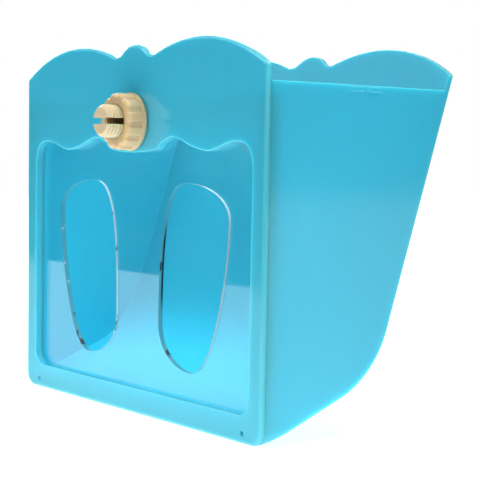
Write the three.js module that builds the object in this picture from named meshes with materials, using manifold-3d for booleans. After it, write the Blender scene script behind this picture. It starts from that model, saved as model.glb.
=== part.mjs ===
// Hay feeder box for small pets. A crowned front frame holds a clear panel with two feed holes, an open-topped
// hopper with a sloping floor stands behind it, and a slotted bolt with a fluted nut clamps it to a cage wire.
// Millimetres, +Z up. X is the width and the front faces -Y. The pieces are drawn with the frame's face at y = 0
// and its foot at z = 0, and the assembly is then lowered so that its origin lies on the clamp bolt's axis.

import * as THREE from 'three';
import { mergeVertices } from 'three/addons/utils/BufferGeometryUtils.js';
import Module from 'manifold-3d';

// Front frame: a moulded plate with a hump at each side and a small bump between them
const frameWidth = 175;
const frameHeight = 148.3;
const frameThickness = 2;
const frameEdgeRound = 1.2;
const humpRise = 11.9;
const humpSpacing = 88;
const bumpRadius = 13.8;
const bumpDrop = 0.8;
const troughRound = 8;
const shoulderRound = 1.5;
const footRound = 6;

// Window in the frame, with a scalloped head
const windowSideMargin = 7.9;
const windowSill = 10.2;
const windowHeadDrop = 43.5;
const windowCornerRound = 6.5;
const scallopRise = 6;
const beadWidth = 3;
const beadHeight = 0.7;

// Tie holes near the feet of the frame
const tieHoleRadius = 1;
const tieHoleInset = 11.4;
const tieHoleHeight = 3.8;

// Hopper: side walls, sloping floor and leaning back in one shell
const hopperDepth = 94.1;
const hopperWall = 2;
const hopperStep = 0.2;
const hopperCornerRound = 0.8;
const hopperInsideRound = 1;
const floorStart = 1.5;
const floorSlopeAngle = 22.8;
const backLeanAngle = 17.6;
const keelRadius = 39.4;
const lipDrop = 5.8;

// Pair of small lugs under the lip of each side wall
const lugPlace = 45.8;
const lugLength = 6.2;
const lugGap = 2.7;
const lugHeight = 1.9;
const lugDrop = 0.5;
const lugProud = 0.6;

// Clear panel and the ribs that hold it
const panelThickness = 2;
const panelCornerRound = 3;
const panelAboveBolt = 9;
const locatorThickness = 1.4;
const locatorFoot = 9;
const sillRibHeight = 4.2;
const sillRibThickness = 1.5;
const sillRibSetback = 8;
const keeperThickness = 1.6;
const keeperReach = 3.8;

// Feed holes in the clear panel, placed inside the window
const feedHoleWeb = 31.7;
const feedHoleSideMargin = 17.6;
const feedHoleFootMargin = 10.3;
const feedHoleHeadMargin = 11.5;

// Clamp bolt
const boltDrop = 31.4;
const boltRadius = 6.5;
const boltProud = 15;
const boltTipChamfer = 1.3;
const boltHeadRadius = 10;
const boltHeadThickness = 3;
const boltHeadChamfer = 0.8;
const slotWidth = 2.5;
const slotLand = 0.5;

// Clamp nut
const nutLength = 8.2;
const gripRadius = 11.2;
const gripChamfer = 1.4;
const collarRadius = 11.5;
const collarThickness = 1.6;
const collarChamfer = 0.5;
const fluteCount = 12;
const fluteWidth = 2.4;
const fluteDepth = 0.7;
const fluteTurnShare = 0.2;

// Fits between the pieces
const seatGap = 0.3;
const slideGap = 0.4;
const notchClearance = 0.7;
const threadClearance = 0.35;

// Overrun of every cut past the face it opens, and the weld distance of shared vertices
const overrun = 4;
const weldDistance = 0.0001;

// Facets
const crownDivisions = 5;
const windowDivisions = 2;
const feedHoleDivisions = 10;
const roundDivisions = 3;
const boltFacets = 48;
const nutFacets = 60;

// Window head, from the middle to the side: shares of the window's half width and of the scallop's rise
const windowHeadShares = [
  [0, 0], [0.2, 0.18], [0.263, 0.65], [0.346, 1], [0.421, 0.83], [0.515, 0.43], [0.645, 0.14],
  [0.738, 0.37], [0.81, 0.65], [0.881, 0.73], [0.94, 0.6], [0.982, 0.08], [1, -1], [1, -1.6],
];

// Feed hole, from its top through its outer side: end and control points of four curves, as shares of its
// width and height
const feedHoleShares = [
  [0.39, 1], [0.77, 1], [1, 0.91], [1, 0.82], [1, 0.55], [0.8, 0], [0.49, 0],
  [0.24, 0], [0, 0.09], [0, 0.25], [0, 0.71], [0.06, 1], [0.39, 1],
];

// Sizes worked out from the values above
const degrees = Math.PI / 180;
const halfFrame = frameWidth / 2;
const humpCentreX = humpSpacing / 2;
const humpRun = halfFrame - humpCentreX;
const humpRadius = (humpRun ** 2 + humpRise ** 2) / (2 * humpRise);
const shoulderHeight = frameHeight - humpRise;
const windowHalfWidth = halfFrame - windowSideMargin;
const windowHead = frameHeight - windowHeadDrop;
const boltHeight = frameHeight - boltDrop;
const panelFront = frameThickness + beadHeight + seatGap;
const panelBack = panelFront + panelThickness;
const panelTop = boltHeight + panelAboveBolt;
const panelFoot = sillRibHeight + sillRibThickness + seatGap;
const halfHopper = halfFrame - hopperStep;
const hopperInside = halfHopper - hopperWall;
const hopperFront = frameThickness + seatGap;
const lipHeight = shoulderHeight - lipDrop;
const locatorOutside = hopperInside - slideGap;
const locatorInside = locatorOutside - locatorThickness;
const halfPanel = locatorInside - slideGap;
const boltHeadFront = panelBack + seatGap;
const frameHoleRadius = boltRadius + slideGap;
const nutBoreRadius = boltRadius + threadClearance;
const nutBack = -seatGap;
const nutFront = nutBack - nutLength;

const wasm = await Module();
wasm.setup();

// Solids: a three.js geometry becomes a solid that can be cut and joined, and turns back into a geometry

function solidOf(geometry) {
  geometry.deleteAttribute('normal');
  geometry.deleteAttribute('uv');
  const merged = mergeVertices(geometry, weldDistance);
  return new wasm.Manifold(new wasm.Mesh({
    numProp: 3,
    vertProperties: Float32Array.from(merged.attributes.position.array),
    triVerts: Uint32Array.from(merged.index.array),
  }));
}

function geometryOf(solid) {
  const mesh = solid.getMesh();
  const geometry = new THREE.BufferGeometry();
  geometry.setAttribute('position', new THREE.BufferAttribute(mesh.vertProperties, mesh.numProp));
  geometry.setIndex(new THREE.BufferAttribute(mesh.triVerts, 1));
  geometry.computeVertexNormals();
  return geometry;
}

function joined(solids) {
  return solids.reduce((whole, solid) => whole.add(solid));
}

function cutBy(solid, cutters) {
  return cutters.reduce((rest, cutter) => rest.subtract(cutter), solid);
}

// Block between two values on each axis
function block([x0, x1], [y0, y1], [z0, z1]) {
  const geometry = new THREE.BoxGeometry(x1 - x0, y1 - y0, z1 - z0);
  geometry.translate((x0 + x1) / 2, (y0 + y1) / 2, (z0 + z1) / 2);
  return solidOf(geometry);
}

// Prism of a shape drawn in the front view, from one depth to another
function frontPrism(shape, fromY, toY) {
  const geometry = new THREE.ExtrudeGeometry(shape, { depth: toY - fromY, bevelEnabled: false });
  geometry.rotateX(Math.PI / 2);
  geometry.translate(0, toY, 0);
  return solidOf(geometry);
}

// Plate of a shape drawn in the front view, with its front edges rounded
function frontPlate(shape, thickness, round) {
  const geometry = new THREE.ExtrudeGeometry(shape, {
    depth: thickness,
    bevelThickness: round,
    bevelSize: round,
    bevelOffset: -round,
    bevelSegments: roundDivisions,
  });
  geometry.rotateX(Math.PI / 2);
  geometry.translate(0, thickness + round, 0);
  const reach = frameWidth + frameHeight;
  return solidOf(geometry).intersect(block([-reach, reach], [-overrun, thickness], [-reach, reach]));
}

// Prism of a shape drawn in the side view, centred on the middle plane, with the edges of both ends rounded
function sidePrism(shape, halfWidth, round) {
  const geometry = new THREE.ExtrudeGeometry(shape, {
    depth: 2 * (halfWidth - round),
    bevelEnabled: round > 0,
    bevelThickness: round,
    bevelSize: round,
    bevelOffset: -round,
    bevelSegments: roundDivisions,
  });
  const sideView = new THREE.Matrix4().makeBasis(
    new THREE.Vector3(0, 1, 0),
    new THREE.Vector3(0, 0, 1),
    new THREE.Vector3(1, 0, 0),
  );
  geometry.applyMatrix4(sideView);
  geometry.translate(round - halfWidth, 0, 0);
  return solidOf(geometry);
}

// Disc across the frame, for round holes through it
function frontDisc(x, z, radius, fromY, toY) {
  const shape = new THREE.Shape();
  shape.absarc(x, z, radius, 0, 2 * Math.PI, false);
  return frontPrism(shape, fromY, toY);
}

// Outlines

// Outline of the frame and of the hopper's back: rounded feet, straight sides, two humps and the bump
function crownedOutline(halfWidth, footCorner) {
  const humpZ = frameHeight - humpRadius;
  const bumpZ = frameHeight - bumpDrop - bumpRadius;
  const shoulderX = halfWidth - shoulderRound;
  const shoulderReach = humpRadius - shoulderRound;
  const shoulderZ = humpZ + Math.sqrt(shoulderReach ** 2 - (shoulderX - humpCentreX) ** 2);
  const shoulderAngle = Math.atan2(shoulderZ - humpZ, shoulderX - humpCentreX);

  // The round in each trough touches the bump and the hump from outside
  const apart = Math.hypot(humpCentreX, humpZ - bumpZ);
  const fromBump = bumpRadius + troughRound;
  const fromHump = humpRadius + troughRound;
  const along = (fromBump ** 2 - fromHump ** 2 + apart ** 2) / (2 * apart);
  const across = Math.sqrt(fromBump ** 2 - along ** 2);
  const troughX = (along * humpCentreX - across * (humpZ - bumpZ)) / apart;
  const troughZ = bumpZ + (along * (humpZ - bumpZ) + across * humpCentreX) / apart;
  const humpEnd = Math.atan2(troughZ - humpZ, troughX - humpCentreX);
  const bumpStart = Math.atan2(troughZ - bumpZ, troughX);
  const troughToHump = Math.atan2(humpZ - troughZ, humpCentreX - troughX);
  const troughToBump = Math.atan2(bumpZ - troughZ, -troughX);

  const shape = new THREE.Shape();
  const footX = halfWidth - footCorner;
  shape.absarc(footX, footCorner, footCorner, -Math.PI / 2, 0, false);
  shape.absarc(shoulderX, shoulderZ, shoulderRound, 0, shoulderAngle, false);
  shape.absarc(humpCentreX, humpZ, humpRadius, shoulderAngle, humpEnd, false);
  shape.absarc(troughX, troughZ, troughRound, troughToHump, troughToBump, true);
  shape.absarc(0, bumpZ, bumpRadius, bumpStart, Math.PI - bumpStart, false);
  shape.absarc(-troughX, troughZ, troughRound, -Math.PI - troughToBump, -Math.PI - troughToHump, true);
  shape.absarc(-humpCentreX, humpZ, humpRadius, Math.PI - humpEnd, Math.PI - shoulderAngle, false);
  shape.absarc(-shoulderX, shoulderZ, shoulderRound, Math.PI - shoulderAngle, Math.PI, false);
  shape.absarc(-footX, footCorner, footCorner, Math.PI, 1.5 * Math.PI, false);
  shape.closePath();
  return shape;
}

// Window outline as points: rounded lower corners, straight sides and a scalloped head
function windowPoints() {
  const cornerX = windowHalfWidth - windowCornerRound;
  const cornerZ = windowSill + windowCornerRound;
  const head = windowHeadShares.map(([across, up]) => [across * windowHalfWidth, windowHead + up * scallopRise]);
  const rightToLeft = [
    ...head.slice(1).reverse().map(([x, z]) => new THREE.Vector2(x, z)),
    ...head.map(([x, z]) => new THREE.Vector2(-x, z)),
  ];
  const shape = new THREE.Shape();
  shape.absarc(cornerX, cornerZ, windowCornerRound, -Math.PI / 2, 0, false);
  shape.lineTo(rightToLeft[0].x, rightToLeft[0].y);
  shape.splineThru(rightToLeft.slice(1));
  shape.absarc(-cornerX, cornerZ, windowCornerRound, Math.PI, 1.5 * Math.PI, false);
  shape.closePath();
  const points = shape.getPoints(windowDivisions);
  return points.filter((point, k) => k === 0 || point.distanceTo(points[0]) > weldDistance);
}

// Closed outline moved outwards by a distance, each point along the normal of its neighbours
function grown(points, distance) {
  return points.map((point, k) => {
    const before = points[(k + points.length - 1) % points.length];
    const after = points[(k + 1) % points.length];
    const run = after.clone().sub(before).normalize();
    return new THREE.Vector2(point.x + run.y * distance, point.y - run.x * distance);
  });
}

// Side view of the hopper: sloping floor, round keel and leaning back, moved inwards by a distance
function hopperProfile(inset) {
  const slope = floorSlopeAngle * degrees;
  const lean = backLeanAngle * degrees;
  const backFoot = hopperDepth - frameHeight * Math.tan(lean);
  const top = frameHeight + hopperCornerRound + overrun;
  const front = -hopperCornerRound - overrun;
  const floorAt = (y, distance) => (y - floorStart) * Math.tan(slope) + distance / Math.cos(slope);
  const backAt = (z, distance) => backFoot + z * Math.tan(lean) - distance / Math.cos(lean);

  // The keel's centre lies a keel radius inside both the floor and the back
  const shared = 1 - Math.tan(slope) * Math.tan(lean);
  const keelZ = floorAt(backAt(0, keelRadius), keelRadius) / shared;
  const keelY = backAt(keelZ, keelRadius);

  const shape = new THREE.Shape();
  shape.moveTo(front, top);
  shape.lineTo(front, floorAt(front, inset));
  shape.absarc(keelY, keelZ, keelRadius - inset, slope - Math.PI / 2, -lean, false);
  shape.lineTo(backAt(top, inset), top);
  shape.closePath();
  return shape;
}

// Side view of the space above the lips, in front of the hopper's back
function aboveLipProfile() {
  const lean = backLeanAngle * degrees;
  const backFoot = hopperDepth - frameHeight * Math.tan(lean) - hopperWall / Math.cos(lean);
  const top = frameHeight + overrun;
  const shape = new THREE.Shape();
  shape.moveTo(-overrun, lipHeight);
  shape.lineTo(backFoot + lipHeight * Math.tan(lean), lipHeight);
  shape.lineTo(backFoot + top * Math.tan(lean), top);
  shape.lineTo(-overrun, top);
  shape.closePath();
  return shape;
}

// Front view of the hopper's inside, which rounds its lower corners where the frame does
function hopperInsideOutline() {
  const corner = footRound - hopperStep - hopperWall;
  const top = frameHeight + overrun;
  const shape = new THREE.Shape();
  shape.absarc(hopperInside - corner, hopperWall + corner, corner, -Math.PI / 2, 0, false);
  shape.lineTo(hopperInside, top);
  shape.lineTo(-hopperInside, top);
  shape.absarc(corner - hopperInside, hopperWall + corner, corner, Math.PI, 1.5 * Math.PI, false);
  shape.closePath();
  return shape;
}

// One feed hole, on the right for side 1 and on the left for side -1
function feedHolePath(side) {
  const inner = feedHoleWeb / 2;
  const width = windowHalfWidth - feedHoleSideMargin - inner;
  const foot = windowSill + feedHoleFootMargin;
  const height = windowHead - feedHoleHeadMargin - foot;
  const points = feedHoleShares.map(([across, up]) => [side * (inner + across * width), foot + up * height]);
  const path = new THREE.Path();
  path.moveTo(...points[0]);
  for (let k = 1; k < points.length; k += 3) {
    path.bezierCurveTo(...points[k], ...points[k + 1], ...points[k + 2]);
  }
  return new THREE.Path(path.getPoints(feedHoleDivisions).slice(1));
}

// Front frame: the crowned plate, a bead round the window, and the ribs that place the clear panel
function frontFrame() {
  const windowOutline = windowPoints();
  const outline = new THREE.Shape(crownedOutline(halfFrame, footRound).getPoints(crownDivisions));
  outline.holes.push(new THREE.Path(windowOutline));
  const plate = frontPlate(outline, frameThickness, frameEdgeRound);

  const beadOutline = new THREE.Shape(grown(windowOutline, beadWidth));
  beadOutline.holes.push(new THREE.Path(windowOutline));
  const bead = frontPrism(beadOutline, frameThickness - beadHeight, frameThickness + beadHeight);

  const ribDepth = [frameThickness - beadHeight, panelBack];
  const sillReach = halfFrame - tieHoleInset - sillRibSetback;
  const sillRib = block([-sillReach, sillReach], ribDepth, [sillRibHeight, sillRibHeight + sillRibThickness]);
  const locatorHeight = [locatorFoot, panelTop];
  const rightLocator = block([locatorInside, locatorOutside], ribDepth, locatorHeight);
  const leftLocator = block([-locatorOutside, -locatorInside], ribDepth, locatorHeight);

  const holes = [frontDisc(0, boltHeight, frameHoleRadius, -overrun, panelBack + overrun)];
  for (const side of [-1, 1]) {
    const x = side * (halfFrame - tieHoleInset);
    holes.push(frontDisc(x, tieHoleHeight, tieHoleRadius, -overrun, panelBack + overrun));
  }
  return cutBy(joined([plate, bead, sillRib, rightLocator, leftLocator]), holes);
}

// Hopper: a round-edged shell trimmed to the crown at its back and to the lips at its sides, with the keepers
// behind the clear panel and the lugs under the lips
function hopperShell() {
  const far = hopperDepth + overrun;
  const crown = new THREE.Shape(crownedOutline(halfHopper, footRound - hopperStep).getPoints(crownDivisions));
  const outside = sidePrism(hopperProfile(0), halfHopper, hopperCornerRound)
    .intersect(frontPrism(crown, hopperFront, far));
  const inside = sidePrism(hopperProfile(hopperWall), hopperInside, hopperInsideRound)
    .intersect(frontPrism(hopperInsideOutline(), -overrun, far));
  const aboveLips = sidePrism(aboveLipProfile(), halfHopper + overrun, 0);
  const shell = outside.subtract(inside).subtract(aboveLips);

  const keeperDepth = [panelBack + seatGap, panelBack + seatGap + keeperThickness];
  const pieces = [shell];
  for (const side of [-1, 1]) {
    const keeperWidth = [side * (hopperInside - keeperReach), side * halfHopper].sort((a, b) => a - b);
    pieces.push(block(keeperWidth, keeperDepth, [0, panelTop]).intersect(outside));

    const lugWidth = [side * hopperInside, side * (halfHopper + lugProud)].sort((a, b) => a - b);
    const lugTop = lipHeight - lugDrop;
    for (const end of [-1, 1]) {
      const nearEdge = lugPlace + end * lugGap / 2;
      const lugDepth = [nearEdge, nearEdge + end * lugLength].sort((a, b) => a - b);
      pieces.push(block(lugWidth, lugDepth, [lugTop - lugHeight, lugTop]));
    }
  }
  return joined(pieces);
}

// Clear panel: a flat sheet with two feed holes, notched from its top edge for the bolt
function clearPanel() {
  const notch = boltRadius + notchClearance;
  const cornerX = halfPanel - panelCornerRound;
  const cornerZ = panelFoot + panelCornerRound;
  const sheet = new THREE.Shape();
  sheet.absarc(cornerX, cornerZ, panelCornerRound, -Math.PI / 2, 0, false);
  sheet.lineTo(halfPanel, panelTop);
  sheet.lineTo(notch, panelTop);
  sheet.absarc(0, boltHeight, notch, 0, Math.PI, true);
  sheet.lineTo(-notch, panelTop);
  sheet.lineTo(-halfPanel, panelTop);
  sheet.absarc(-cornerX, cornerZ, panelCornerRound, Math.PI, 1.5 * Math.PI, false);
  sheet.closePath();
  const outline = new THREE.Shape(sheet.getPoints(crownDivisions));
  outline.holes.push(feedHolePath(1), feedHolePath(-1));
  return frontPrism(outline, panelFront, panelBack);
}

// Clamp bolt, turned about its own axis: a round head, a plain shank and a slot right across it from the tip
function clampBolt() {
  const tip = -boltProud;
  const headBack = boltHeadFront + boltHeadThickness;
  const profile = [
    [0, tip],
    [boltRadius - boltTipChamfer, tip],
    [boltRadius, tip + boltTipChamfer],
    [boltRadius, boltHeadFront],
    [boltHeadRadius, boltHeadFront],
    [boltHeadRadius, headBack - boltHeadChamfer],
    [boltHeadRadius - boltHeadChamfer, headBack],
    [0, headBack],
  ].map(([radius, y]) => new THREE.Vector2(radius, y));
  const turned = solidOf(new THREE.LatheGeometry(profile, boltFacets));
  const slotReach = boltRadius + overrun;
  const slot = block([-slotReach, slotReach], [tip - overrun, -slotLand], [-slotWidth / 2, slotWidth / 2]);
  return turned.subtract(slot);
}

// Clamp nut, turned about its own axis: flat flutes run from its front face to a plain collar
function clampNut() {
  const profile = [
    [nutBoreRadius, nutFront],
    [gripRadius - gripChamfer, nutFront],
    [gripRadius, nutFront + gripChamfer],
    [gripRadius, nutBack - collarThickness],
    [collarRadius, nutBack - collarThickness],
    [collarRadius, nutBack - collarChamfer],
    [collarRadius - collarChamfer, nutBack],
    [nutBoreRadius, nutBack],
    [nutBoreRadius, nutFront],
  ].map(([radius, y]) => new THREE.Vector2(radius, y));
  const turned = solidOf(new THREE.LatheGeometry(profile, nutFacets));
  const fluteFloor = gripRadius - fluteDepth;
  const flutes = [];
  for (let k = 0; k < fluteCount; k += 1) {
    const flute = new THREE.BoxGeometry(overrun, nutLength - collarThickness + overrun, fluteWidth);
    flute.translate(fluteFloor + overrun / 2, (nutFront - overrun + nutBack - collarThickness) / 2, 0);
    flute.rotateY((k + fluteTurnShare) * 2 * Math.PI / fluteCount);
    flutes.push(solidOf(flute));
  }
  return cutBy(turned, flutes);
}

// Materials
const cyanPlastic = new THREE.MeshStandardMaterial({ color: 0x4fc3ea, roughness: 0.25, metalness: 0 });
const clearPlastic = new THREE.MeshStandardMaterial({
  color: 0xdff4fb,
  roughness: 0.05,
  metalness: 0,
  transparent: true,
  opacity: 0.25,
});
const creamPlastic = new THREE.MeshStandardMaterial({ color: 0xe1cda0, roughness: 0.4, metalness: 0 });

function piece(name, solid, material) {
  const mesh = new THREE.Mesh(geometryOf(solid), material);
  mesh.name = name;
  return mesh;
}

// Assembly, hung from the point where the clamp bolt's axis meets the frame's face
const feeder = new THREE.Group();
feeder.position.set(0, 0, -boltHeight);
feeder.add(piece('front_frame', frontFrame(), cyanPlastic));
feeder.add(piece('hopper_shell', hopperShell(), cyanPlastic));
feeder.add(piece('clear_panel', clearPanel(), clearPlastic));

const clamp = new THREE.Group();
clamp.position.set(0, 0, boltHeight);
clamp.add(piece('clamp_bolt', clampBolt(), creamPlastic));
clamp.add(piece('clamp_nut', clampNut(), creamPlastic));
feeder.add(clamp);

export default feeder;
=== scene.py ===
# Hay feeder box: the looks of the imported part, with a smooth mesh for each of its pieces.
# Lengths are metres and +Z is up. X is the width and the front faces -Y. The row's origin lies on the clamp
# bolt's axis, at the frame's face. The box is drawn from its foot and then lowered by the bolt's height.

import math

import bmesh
import bpy
from mathutils import Matrix, Vector
from mathutils.geometry import tessellate_polygon


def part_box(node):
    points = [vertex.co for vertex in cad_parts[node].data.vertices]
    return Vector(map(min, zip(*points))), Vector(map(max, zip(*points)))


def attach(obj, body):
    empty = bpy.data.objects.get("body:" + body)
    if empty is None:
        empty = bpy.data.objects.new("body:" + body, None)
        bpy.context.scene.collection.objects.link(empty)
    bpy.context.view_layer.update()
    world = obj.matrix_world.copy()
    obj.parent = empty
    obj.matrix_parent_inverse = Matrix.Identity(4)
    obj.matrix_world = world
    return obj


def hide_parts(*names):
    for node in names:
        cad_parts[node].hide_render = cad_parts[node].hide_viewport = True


bl_info = {
    "name": "Hay feeder box",
    "version": (1, 0, 0),
    "blender": (4, 5, 0),
    "location": "View3D > Sidebar > Hay feeder",
    "description": "Builds a clamp-on hay feeder box with a clear front and its studio",
    "category": "Add Mesh",
}

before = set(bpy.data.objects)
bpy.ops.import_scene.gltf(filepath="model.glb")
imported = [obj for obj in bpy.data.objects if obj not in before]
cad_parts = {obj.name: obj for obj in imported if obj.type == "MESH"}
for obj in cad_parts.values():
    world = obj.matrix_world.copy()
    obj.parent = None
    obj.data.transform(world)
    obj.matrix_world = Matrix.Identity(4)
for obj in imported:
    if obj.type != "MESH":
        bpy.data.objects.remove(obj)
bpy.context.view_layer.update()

FRAME_LOW, FRAME_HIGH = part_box("front_frame")
HOPPER_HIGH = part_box("hopper_shell")[1]
PANEL_LOW, PANEL_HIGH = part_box("clear_panel")
BOLT_LOW, BOLT_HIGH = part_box("clamp_bolt")
NUT_LOW, NUT_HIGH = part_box("clamp_nut")

MM = 0.001
BOX_BODY, BOLT_BODY, NUT_BODY = "feeder_box", "clamp_bolt", "clamp_nut"
CYAN_SLOT, CLEAR_SLOT, CREAM_SLOT = "cyan_plastic", "clear_acrylic", "cream_plastic"

# Window head, from the middle to the side: shares of the window's half width and of the scallop's rise
WINDOW_HEAD_SHARES = (
    (0, 0), (0.2, 0.18), (0.263, 0.65), (0.346, 1), (0.421, 0.83), (0.515, 0.43), (0.645, 0.14),
    (0.738, 0.37), (0.81, 0.65), (0.881, 0.73), (0.94, 0.6), (0.982, 0.08), (1, -1), (1, -1.6),
)

# Feed hole, from its top through its outer side: ends and control points of four curves, as shares of its
# width and height
FEED_HOLE_SHARES = (
    (0.39, 1), (0.77, 1), (1, 0.91), (1, 0.82), (1, 0.55), (0.8, 0), (0.49, 0),
    (0.24, 0), (0, 0.09), (0, 0.25), (0, 0.71), (0.06, 1), (0.39, 1),
)

# How far a cutting piece reaches past what it cuts
OVERRUN = 6 * MM

# Small edge rounds, and the gaps that keep the bead clear of the panel and of the window's wall
HOLE_ROUND, HOLE_BREAK, FRAME_BREAK, BEAD_BREAK = 0.2 * MM, 0.1 * MM, 0.15 * MM, 0.05 * MM
BLOCK_ROUND, KEEPER_ROUND = 0.25 * MM, 0.3 * MM
BEAD_GAP, BEAD_SETBACK = 0.05 * MM, 0.02 * MM

# Steps of the outlines, of rounded edges and of the turned pieces
CORNER_STEPS, SHOULDER_STEPS, ARC_STEPS, HUMP_STEPS, KEEL_STEPS = 12, 8, 14, 60, 40
WINDOW_STEPS, FEED_HOLE_STEPS, NOTCH_STEPS, BOLT_HOLE_STEPS, TIE_HOLE_STEPS = 8, 24, 40, 64, 32
FRAME_EDGE_STEPS, WINDOW_EDGE_STEPS, HOLE_EDGE_STEPS, BEAD_EDGE_STEPS, SHEET_EDGE_STEPS = 6, 5, 3, 4, 2
BLOCK_EDGE_STEPS, INNER_EDGE_STEPS, RIM_EDGE_STEPS = 3, 8, 3
BOLT_FACETS, FLUTE_FACETS, THREAD_STEPS, BORE_STEPS = 96, 24, 14, 56
CROWN_STEPS, GRIP_STEPS, FADE_STEPS, COLLAR_FRONT_STEPS, COLLAR_BACK_STEPS = 9, 8, 4, 4, 5

# Least angle of an edge that is bevelled and of one that is shaded sharp
BEVEL_ANGLE, SHARP_ANGLE = math.radians(32), math.radians(38)

# Rounded edges get a painted highlight, lighter than the cyan, kept in the face attribute below. Rims are
# faces this narrow at most, with bends of at least this turn along this share of their edges
EDGE_HIGHLIGHT_ATTRIBUTE = "rim"
RIM_WIDTH, RIM_TURN, RIM_BEND_SHARE = 0.5 * MM, math.radians(5), 0.4


# Settings


def number(name, value, description, **kind):
    return bpy.props.FloatProperty(name=name, description=description, default=value, min=0.0, **kind)


def length(name, value, description):
    return number(name, value, description, precision=5, unit="LENGTH")


def share(name, value, description):
    return number(name, value, description, max=1.0, subtype="FACTOR")


def power(name, watts, description):
    return number(name, watts, description, unit="POWER")


def angle(name, degrees, description):
    return bpy.props.FloatProperty(
        name=name, description=description, default=math.radians(degrees), subtype="ANGLE"
    )


def colour(name, rgb, description):
    return bpy.props.FloatVectorProperty(
        name=name, description=description, default=rgb, size=3, min=0.0, max=1.0, subtype="COLOR"
    )


class FeederBoxSizes(bpy.types.PropertyGroup):
    """Sizes of the frame and the hopper"""

    width: length("Width", FRAME_HIGH.x - FRAME_LOW.x, "Width of the front frame")
    height: length("Height", FRAME_HIGH.z - FRAME_LOW.z, "Height of the front frame")
    bolt_height: length("Bolt height", -FRAME_LOW.z, "Height of the bolt's axis above the frame's foot")
    thickness: length("Frame thickness", 2.0 * MM, "Thickness of the frame's plate")
    edge_round: length("Edge round", 1.2 * MM, "Radius of the frame's outer front edge")
    window_round: length("Window edge round", 0.38 * MM, "Radius of the window's front edge")
    hump_rise: length("Hump rise", 11.9 * MM, "Rise of each hump over the shoulders")
    hump_spacing: length("Hump spacing", 88.0 * MM, "Distance between the two humps' tops")
    bump_radius: length("Bump radius", 13.8 * MM, "Radius of the middle bump")
    bump_drop: length("Bump drop", 0.8 * MM, "How far the bump's top lies under the humps' tops")
    trough_round: length("Trough round", 8.0 * MM, "Radius between the bump and a hump")
    shoulder_round: length("Shoulder round", 1.5 * MM, "Radius of the shoulders")
    foot_round: length("Foot round", 6.0 * MM, "Radius of the frame's lower corners")
    window_margin: length("Window margin", 7.9 * MM, "Frame left beside the window")
    window_sill: length("Window sill", 10.2 * MM, "Height of the window's lower edge")
    window_head_drop: length("Window head drop", 43.5 * MM, "From the frame's top to the window's head")
    window_corner: length("Window corner", 6.5 * MM, "Radius of the window's lower corners")
    scallop_rise: length("Scallop rise", 6.0 * MM, "Rise of the scallops in the window's head")
    bead_width: length("Bead width", 3.0 * MM, "Width of the bead round the window's back")
    join_depth: length("Join depth", 0.7 * MM, "How deep the bead and the ribs reach into the plate")
    tie_radius: length("Tie hole radius", 1.0 * MM, "Radius of the two tie holes")
    tie_inset: length("Tie hole inset", 11.4 * MM, "From the frame's side to a tie hole")
    tie_height: length("Tie hole height", 3.8 * MM, "Height of the tie holes")
    rib_setback: length("Sill rib setback", 8.0 * MM, "From a tie hole to the end of the sill rib")
    rib_thickness: length("Sill rib thickness", 1.5 * MM, "Thickness of the rib under the clear panel")
    locator_thickness: length("Locator thickness", 1.4 * MM, "Thickness of the ribs beside the clear panel")
    locator_foot: length("Locator foot", 9.0 * MM, "Height of the locators' lower ends")
    depth: length("Hopper depth", HOPPER_HIGH.y, "Depth of the hopper at its top")
    wall: length("Wall", 2.0 * MM, "Thickness of the hopper's walls")
    step: length("Hopper step", 0.2 * MM, "How far the hopper stands back from the frame's side")
    rim_round: length("Rim round", 0.7 * MM, "Radius of the hopper's edges")
    inner_round: length("Inner round", 2.0 * MM, "Radius of the hopper's inner corners")
    floor_start: length("Floor start", 1.5 * MM, "Where the floor's underside meets the foot")
    floor_slope: angle("Floor slope", 22.8, "Slope of the hopper's floor")
    back_lean: angle("Back lean", 17.6, "Lean of the hopper's back")
    keel_radius: length("Keel radius", 39.4 * MM, "Radius between the floor and the back")
    lip_height: length("Lip height", 130.6 * MM, "Height of the side walls' lips")
    keeper_reach: length("Keeper reach", 3.8 * MM, "How far a keeper stands in from the side wall")
    keeper_thickness: length("Keeper thickness", 1.6 * MM, "Thickness of the keepers behind the panel")
    keeper_foot: length("Keeper foot", 6.5 * MM, "Height of the keepers' lower ends")
    lug_place: length("Lug place", 45.8 * MM, "Depth of the middle between the two lugs of a side")
    lug_gap: length("Lug gap", 2.7 * MM, "Gap between the two lugs")
    lug_length: length("Lug length", 6.2 * MM, "Length of a lug")
    lug_height: length("Lug height", 1.9 * MM, "Height of a lug")
    lug_drop: length("Lug drop", 0.5 * MM, "From the lip down to a lug")
    seat_gap: length("Seat gap", 0.3 * MM, "Gap between pieces that touch")
    slide_gap: length("Slide gap", 0.4 * MM, "Gap beside the clear panel and round the bolt")


class ClearPanelSizes(bpy.types.PropertyGroup):
    """Sizes of the clear panel"""

    front: length("Front", PANEL_LOW.y, "Depth of the clear panel's front behind the frame's face")
    thickness: length("Thickness", PANEL_HIGH.y - PANEL_LOW.y, "Thickness of the clear sheet")
    corner: length("Corner round", 3.0 * MM, "Radius of the sheet's lower corners")
    notch: length("Notch radius", 7.2 * MM, "Radius of the notch for the bolt")
    edge: length("Edge break", 0.16 * MM, "Break of the sheet's cut edges")
    web: length("Web", 31.7 * MM, "Clear sheet between the two feed holes")
    side_margin: length("Side margin", 17.6 * MM, "From a feed hole to the window's side")
    foot_margin: length("Foot margin", 10.3 * MM, "From the window's sill to a feed hole")
    head_margin: length("Head margin", 11.5 * MM, "From a feed hole to the window's head")


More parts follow.
